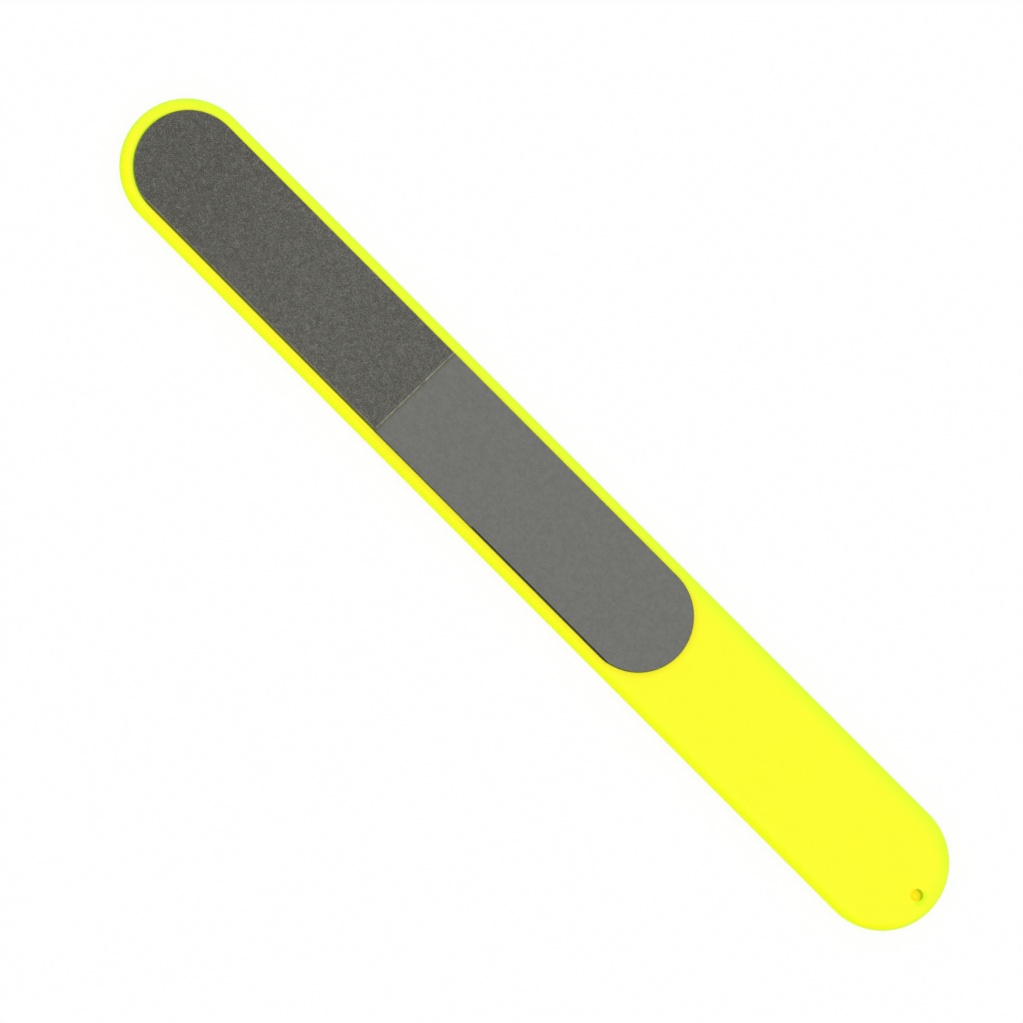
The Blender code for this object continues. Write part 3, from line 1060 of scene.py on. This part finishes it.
def build_coat(sheet, sizes, material):
    """A fine coat: one plate with a soft relief on its outer face."""
    layer = sheet_layer(sheet, "grit_coat")
    coat = add_sheet_grid(f"{sheet.name}_coat", sheet, layer, sizes.fine_cell, sizes.ragged_cut / 3)
    if sheet == FRONT_FINE:
        set_back_edge(coat, -(layer.radius - sizes.strip_width), sizes.strip_start)
    close_hidden_face(coat, sheet.side)
    outer_z = inner_and_outer(sheet, layer)[1]
    relieve_face(coat, sheet, layer, outer_z, sizes.fine_relief, 2 * sizes.fine_cell)
    settle_layer(coat, sheet, sizes)
    smooth_by_angle(coat)
    finish_piece(coat, material, sheet.grit_slot, f"{sheet.name}_grit_coat")


def build_grains(sheet, sizes, material, spacing, grain):
    """A resin bed with its grains: crystals scattered over a field a little smaller than the coat."""
    layer = sheet_layer(sheet, "grit_coat")
    inner_z, outer_z = inner_and_outer(sheet, layer)
    resin_z = inner_z + sheet.side * sizes.resin_thickness
    bed_layer = layer._replace(low_z=min(inner_z, resin_z), high_z=max(inner_z, resin_z))
    bed = add_sheet_grid(f"{sheet.name}_coat", sheet, bed_layer, sizes.bed_cell, sizes.ragged_cut)
    if sheet.side == FRONT:
        set_back_edge(bed, -(layer.radius - sizes.bare_edge))
    close_hidden_face(bed, sheet.side)
    relieve_face(bed, sheet, layer, resin_z, BED_RELIEF * sizes.resin_thickness, sizes.bed_cell)
    field = grain_field(sheet, sizes, layer, resin_z, FIELD_MARGIN * grain)
    scatter_grains(field, sheet, sizes, spacing, grain, outer_z)
    join_pieces(bed, field)
    settle_layer(bed, sheet, sizes)
    finish_piece(bed, material, sheet.grit_slot, f"{sheet.name}_grit_coat")


def grain_field(sheet, sizes, layer, resin_z, margin):
    """The face that the grains are scattered over, a margin inside the coat's outline."""
    ends = (layer.cut_x, layer.arc_x + sheet.end * layer.radius)
    low_x, high_x = min(ends) + margin, max(ends) - margin
    field = add_bar("grain_field", low_x, high_x, layer.radius - margin, resin_z - BOND_GAP, resin_z)
    square_off(field, sheet, layer, margin)
    if sheet.side == FRONT:
        set_back_edge(field, -(layer.radius - margin - sizes.bare_edge))
    select_in_edit_mode(field, "FACE", lambda face: not faces_towards(FRONT)(face))
    bpy.ops.mesh.delete(type="FACE")
    leave_edit_mode()
    return field


def square_off(field, sheet, layer, margin):
    """Moves the round end at the cut out to a straight line."""
    line = layer.cut_x + sheet.end * margin
    for vertex in field.data.vertices:
        if (vertex.co.x - line) * sheet.end < layer.radius - WELD_DISTANCE:
            vertex.co.x = line
    recalculate_normals(field)


def scatter_grains(field, sheet, sizes, spacing, grain, outer_z):
    """Turns the field into its grains, and flattens those that stand out of the coat's box."""
    crystals = add_crystals(grain)
    scatter = field.modifiers.new("grains", "NODES")
    scatter.node_group = scatter_nodes(crystals, spacing, GRAIN_DEPTH * grain, sheet.side, sizes.seed)
    apply_modifier(field, scatter)
    for vertex in field.data.vertices:
        if (vertex.co.z - outer_z) * sheet.side > 0:
            vertex.co.z = outer_z
    for crystal in list(crystals.objects):
        bpy.data.objects.remove(crystal, do_unlink=True)
    bpy.data.collections.remove(crystals)


def add_crystals(size):
    """Three crushed grains of unlike form, each from its own primitive, in a collection of their own."""
    crystals = bpy.data.collections.new("crystals")
    bpy.context.scene.collection.children.link(crystals)
    radius = size / 2
    deselect_all()
    bpy.ops.mesh.primitive_uv_sphere_add(segments=3, ring_count=2, radius=radius)
    made = [bpy.context.object]
    for top, height in CRYSTAL_CONES:
        deselect_all()
        bpy.ops.mesh.primitive_cone_add(
            vertices=3, radius1=radius, radius2=top * radius, depth=height * radius
        )
        made.append(bpy.context.object)
    lean_x, lean_y = CRYSTAL_LEAN
    form_turn, corner_turn, lean_turn = CRYSTAL_TURNS
    for number, crystal in enumerate(made):
        apply_place(crystal)
        for vertex in crystal.data.vertices:
            lean = math.sin(form_turn * number + corner_turn * vertex.index)
            vertex.co.x += lean_x * radius * lean
            vertex.co.y -= lean_y * radius * math.cos(lean_turn * lean + vertex.index)
        for collection in list(crystal.users_collection):
            collection.objects.unlink(crystal)
        crystals.objects.link(crystal)
    return crystals


def random_value(tree, seed, low, high):
    """A random number from low to high for each point, or a random vector between two vectors."""
    kind = "FLOAT_VECTOR" if hasattr(low, "__len__") else "FLOAT"
    ends = {"Seed": seed, "Min": low, "Max": high}
    return add_node(tree, "FunctionNodeRandomValue", ends, data_type=kind).outputs["Value"]


def scatter_nodes(crystals, spacing, depth, side, seed):
    """Geometry nodes that spread the crystals over a face, each turned, sized and shaded at random."""
    tree = bpy.data.node_groups.new("scattered_grains", "GeometryNodeTree")
    for way in ("INPUT", "OUTPUT"):
        tree.interface.new_socket("Geometry", in_out=way, socket_type="NodeSocketGeometry")
    entry = tree.nodes.new("NodeGroupInput")
    density = GRAIN_DENSITY / spacing**2
    spread = add_node(
        tree,
        "GeometryNodeDistributePointsOnFaces",
        {"Mesh": entry.outputs[0], "Distance Min": spacing, "Density Max": density, "Seed": seed},
        distribute_method="POISSON",
    )
    source = add_node(
        tree,
        "GeometryNodeCollectionInfo",
        {"Collection": crystals, "Separate Children": True, "Reset Children": True},
    )
    turns = random_value(tree, seed + 1, (0, 0, 0), (2 * math.pi,) * 3)
    scales = random_value(tree, seed + 2, *GRAIN_SCALES)
    shades = random_value(tree, seed + 3, *GRAIN_SHADES)
    depths = random_value(tree, seed + 4, (0, 0, min(0, side * depth)), (0, 0, max(0, side * depth)))
    points = spread.outputs["Points"]
    sunk = add_node(tree, "GeometryNodeSetPosition", {"Geometry": points, "Offset": depths})
    placed = add_node(
        tree,
        "GeometryNodeInstanceOnPoints",
        {
            "Points": sunk.outputs[0],
            "Instance": source.outputs[0],
            "Pick Instance": True,
            "Rotation": turns,
            "Scale": scales,
        },
    )
    shaded = add_node(
        tree,
        "GeometryNodeStoreNamedAttribute",
        {"Geometry": placed.outputs[0], "Name": "grain_shade", "Value": shades},
        data_type="FLOAT",
        domain="INSTANCE",
    )
    real = add_node(tree, "GeometryNodeRealizeInstances", {"Geometry": shaded.outputs[0]})
    leave = tree.nodes.new("NodeGroupOutput")
    tree.links.new(real.outputs[0], leave.inputs[0])
    return tree


# Stage


def build_floor(stage):
    deselect_all()
    bpy.ops.mesh.primitive_plane_add(size=stage.floor_size)
    floor = bpy.context.object
    floor.name = "studio_floor"
    material, tree, shader = new_material("studio_floor")
    chalk = {"Base Color": (*stage.floor, 1), "Roughness": 1.0, "Specular IOR Level": 0.0}
    set_inputs(tree, shader, chalk)
    path = tree.nodes.new("ShaderNodeLightPath")
    whitened = product(tree, path.outputs["Is Camera Ray"], stage.floor_white)
    white = add_node(tree, "ShaderNodeEmission", {"Color": WHITE, "Strength": 1.0})
    both = add_node(tree, "ShaderNodeMixShader", {0: whitened, 1: shader.outputs[0], 2: white.outputs[0]})
    tree.links.new(both.outputs[0], tree.nodes["Material Output"].inputs["Surface"])
    floor.data.materials.append(material)


def build_sky(stage):
    """Even light from all round, seen as plain white, and darker low on its -Y side in gloss."""
    world = bpy.data.worlds.new("studio")
    bpy.context.scene.world = world
    world.use_nodes = True
    tree = world.node_tree
    tree.nodes.clear()
    path = tree.nodes.new("ShaderNodeLightPath")
    glossy, through = path.outputs["Is Glossy Ray"], path.outputs["Is Transmission Ray"]
    seen = compute(tree, "MAXIMUM", path.outputs["Is Camera Ray"], glossy, through)
    directions = tree.nodes.new("ShaderNodeTexCoord").outputs["Generated"]
    across = add_node(tree, "ShaderNodeSeparateXYZ", {0: directions}).outputs["Y"]
    lit_side = remap(tree, across, *DARK_SKY, to_low=stage.dark_side)
    darkened = product(tree, glossy, compute(tree, "SUBTRACT", 1.0, lit_side))
    brightness = compute(tree, "SUBTRACT", 1.0, darkened)
    lighting = add_node(tree, "ShaderNodeBackground", {"Color": WHITE, "Strength": stage.sky_share})
    backdrop = add_node(tree, "ShaderNodeBackground", {"Color": WHITE, "Strength": brightness})
    both = add_node(tree, "ShaderNodeMixShader", {0: seen, 1: lighting.outputs[0], 2: backdrop.outputs[0]})
    output = tree.nodes.new("ShaderNodeOutputWorld")
    tree.links.new(both.outputs[0], output.inputs["Surface"])


def build_key(stage):
    """A broad soft lamp overhead. A surface that faces it gets what the sky leaves out."""
    deselect_all()
    bpy.ops.object.light_add(type="SUN", location=(0, 0, 1))
    key = bpy.context.object
    key.name = "overhead_key"
    key.data.energy = math.pi * (1 - stage.sky_share)
    key.data.angle = stage.key_angle
    key.visible_glossy = False


def build_camera(stage):
    """A long lens over the file, leaning towards -Y and -X, with the file turned to the lower right."""
    towards = Vector((-math.tan(stage.tilt_along), -math.tan(stage.tilt_across), 1)).normalized()
    file_axis = Vector((1, 0, 0))
    along = (file_axis - towards * file_axis.dot(towards)).normalized()
    across = towards.cross(along)
    right = math.cos(PHOTO_TURN) * along + math.sin(PHOTO_TURN) * across
    up = math.cos(PHOTO_TURN) * across - math.sin(PHOTO_TURN) * along

    seen_length = (BODY_HIGH.x - BODY_LOW.x) * math.sqrt(1 - towards.x**2)
    pixel = seen_length / PHOTO_LENGTH_PIXELS
    middle_pixel = (PHOTO_SIDE_PIXELS - 1) / 2
    centre = Vector((0, 0, MIDDLE_HEIGHT))
    centre -= right * pixel * (PHOTO_CENTRE_PIXELS[0] - middle_pixel)
    centre += up * pixel * (PHOTO_CENTRE_PIXELS[1] - middle_pixel)

    deselect_all()
    bpy.ops.object.camera_add()
    camera = bpy.context.object
    camera.name = "photo_camera"
    turn = Matrix((right, up, towards)).transposed().to_4x4()
    camera.matrix_world = Matrix.Translation(centre + towards * stage.camera_distance) @ turn
    camera.data.sensor_fit = "HORIZONTAL"
    camera.data.lens = camera.data.sensor_width * stage.camera_distance / (pixel * PHOTO_SIDE_PIXELS)
    camera.data.clip_end = 4 * stage.camera_distance
    bpy.context.scene.camera = camera


# Operators


class NAILFILE_OT_handle(bpy.types.Operator):
    """Build the moulded handle with its crowned faces, parting line and recesses"""

    bl_idname = "nail_file.handle"
    bl_label = "Moulded Handle"

    def execute(self, context):
        scene = context.scene
        build_handle(scene.nail_file_handle, scene.nail_file_finish)
        return {"FINISHED"}


class NAILFILE_OT_films(bpy.types.Operator):
    """Give the four bonding films their finish"""

    bl_idname = "nail_file.films"
    bl_label = "Bonding Films"

    def execute(self, context):
        material = adhesive_material(context.scene.nail_file_finish.adhesive)
        for sheet in SHEETS:
            film = frame["nodes"][f"{sheet.name}_adhesive_film"]
            film.data.materials.clear()
            film.data.materials.append(material)
        return {"FINISHED"}


class NAILFILE_OT_papers(bpy.types.Operator):
    """Build the four backing papers"""

    bl_idname = "nail_file.papers"
    bl_label = "Backing Papers"

    def execute(self, context):
        sizes, finish = context.scene.nail_file_sheets, context.scene.nail_file_finish
        charcoal = finish.charcoal_paper
        materials = {
            "tan_paper": paper_material("tan_paper", finish.tan_paper, finish.paper_rim_shade),
            "charcoal_paper": paper_material("charcoal_paper", charcoal, charcoal),
        }
        for sheet in SHEETS:
            build_paper(sheet, sizes, materials[sheet.paper_slot])
        return {"FINISHED"}


class NAILFILE_OT_grain_coats(bpy.types.Operator):
    """Build the coarse and the medium coat, whose grains are modelled one by one"""

    bl_idname = "nail_file.grain_coats"
    bl_label = "Grain Coats"

    def execute(self, context):
        sizes, finish = context.scene.nail_file_sheets, context.scene.nail_file_finish
        coarse = grain_material("coarse_grit", finish.coarse, finish.resin)
        medium = grain_material("medium_grit", finish.medium, finish.resin)
        build_grains(FRONT_COARSE, sizes, coarse, sizes.coarse_spacing, sizes.coarse_grain)
        build_grains(BACK_MEDIUM, sizes, medium, sizes.medium_spacing, sizes.medium_grain)
        return {"FINISHED"}


class NAILFILE_OT_fine_coats(bpy.types.Operator):
    """Build the fine and the extra fine coat"""

    bl_idname = "nail_file.fine_coats"
    bl_label = "Fine Coats"

    def execute(self, context):
        sizes, finish = context.scene.nail_file_sheets, context.scene.nail_file_finish
        fine = coat_material("fine_grit", finish.fine, finish.resin, FINE_GRAIN)
        extra_fine = coat_material("extra_fine_grit", finish.extra_fine, finish.resin, EXTRA_FINE_GRAIN)
        build_coat(FRONT_FINE, sizes, fine)
        build_coat(BACK_EXTRA_FINE, sizes, extra_fine)
        return {"FINISHED"}


class NAILFILE_OT_stage(bpy.types.Operator):
    """Build the pale floor, the even light and the camera"""

    bl_idname = "nail_file.stage"
    bl_label = "Studio Stage"

    def execute(self, context):
        stage = context.scene.nail_file_stage
        build_floor(stage)
        build_sky(stage)
        build_key(stage)
        build_camera(stage)
        context.scene.view_settings.view_transform = "Standard"
        return {"FINISHED"}


class NAILFILE_PT_panel(bpy.types.Panel):
    """Lists the file's pieces and its stage"""

    bl_idname = "NAILFILE_PT_panel"
    bl_label = "Nail File"
    bl_space_type = "VIEW_3D"
    bl_region_type = "UI"
    bl_category = "Nail File"

    def draw(self, context):
        for operator in OPERATORS:
            self.layout.operator(operator.bl_idname)


PROPERTY_GROUPS = {
    "nail_file_handle": NailFileHandleSizes,
    "nail_file_sheets": NailFileSheetSizes,
    "nail_file_finish": NailFileFinish,
    "nail_file_stage": NailFileStage,
}
OPERATORS = (
    NAILFILE_OT_stage,
    NAILFILE_OT_handle,
    NAILFILE_OT_films,
    NAILFILE_OT_papers,
    NAILFILE_OT_grain_coats,
    NAILFILE_OT_fine_coats,
)


def register():
    for group in PROPERTY_GROUPS.values():
        bpy.utils.register_class(group)
    for operator in OPERATORS:
        bpy.utils.register_class(operator)
    bpy.utils.register_class(NAILFILE_PT_panel)
    for name, group in PROPERTY_GROUPS.items():
        setattr(bpy.types.Scene, name, PointerProperty(type=group))


def unregister():
    for name in PROPERTY_GROUPS:
        delattr(bpy.types.Scene, name)
    bpy.utils.unregister_class(NAILFILE_PT_panel)
    for operator in reversed(OPERATORS):
        bpy.utils.unregister_class(operator)
    for group in PROPERTY_GROUPS.values():
        bpy.utils.unregister_class(group)


def main():
    register()
    bpy.ops.nail_file.stage()
    bpy.ops.nail_file.handle()
    bpy.ops.nail_file.films()
    bpy.ops.nail_file.papers()
    bpy.ops.nail_file.grain_coats()
    bpy.ops.nail_file.fine_coats()


if __name__ == "__main__":
    main()
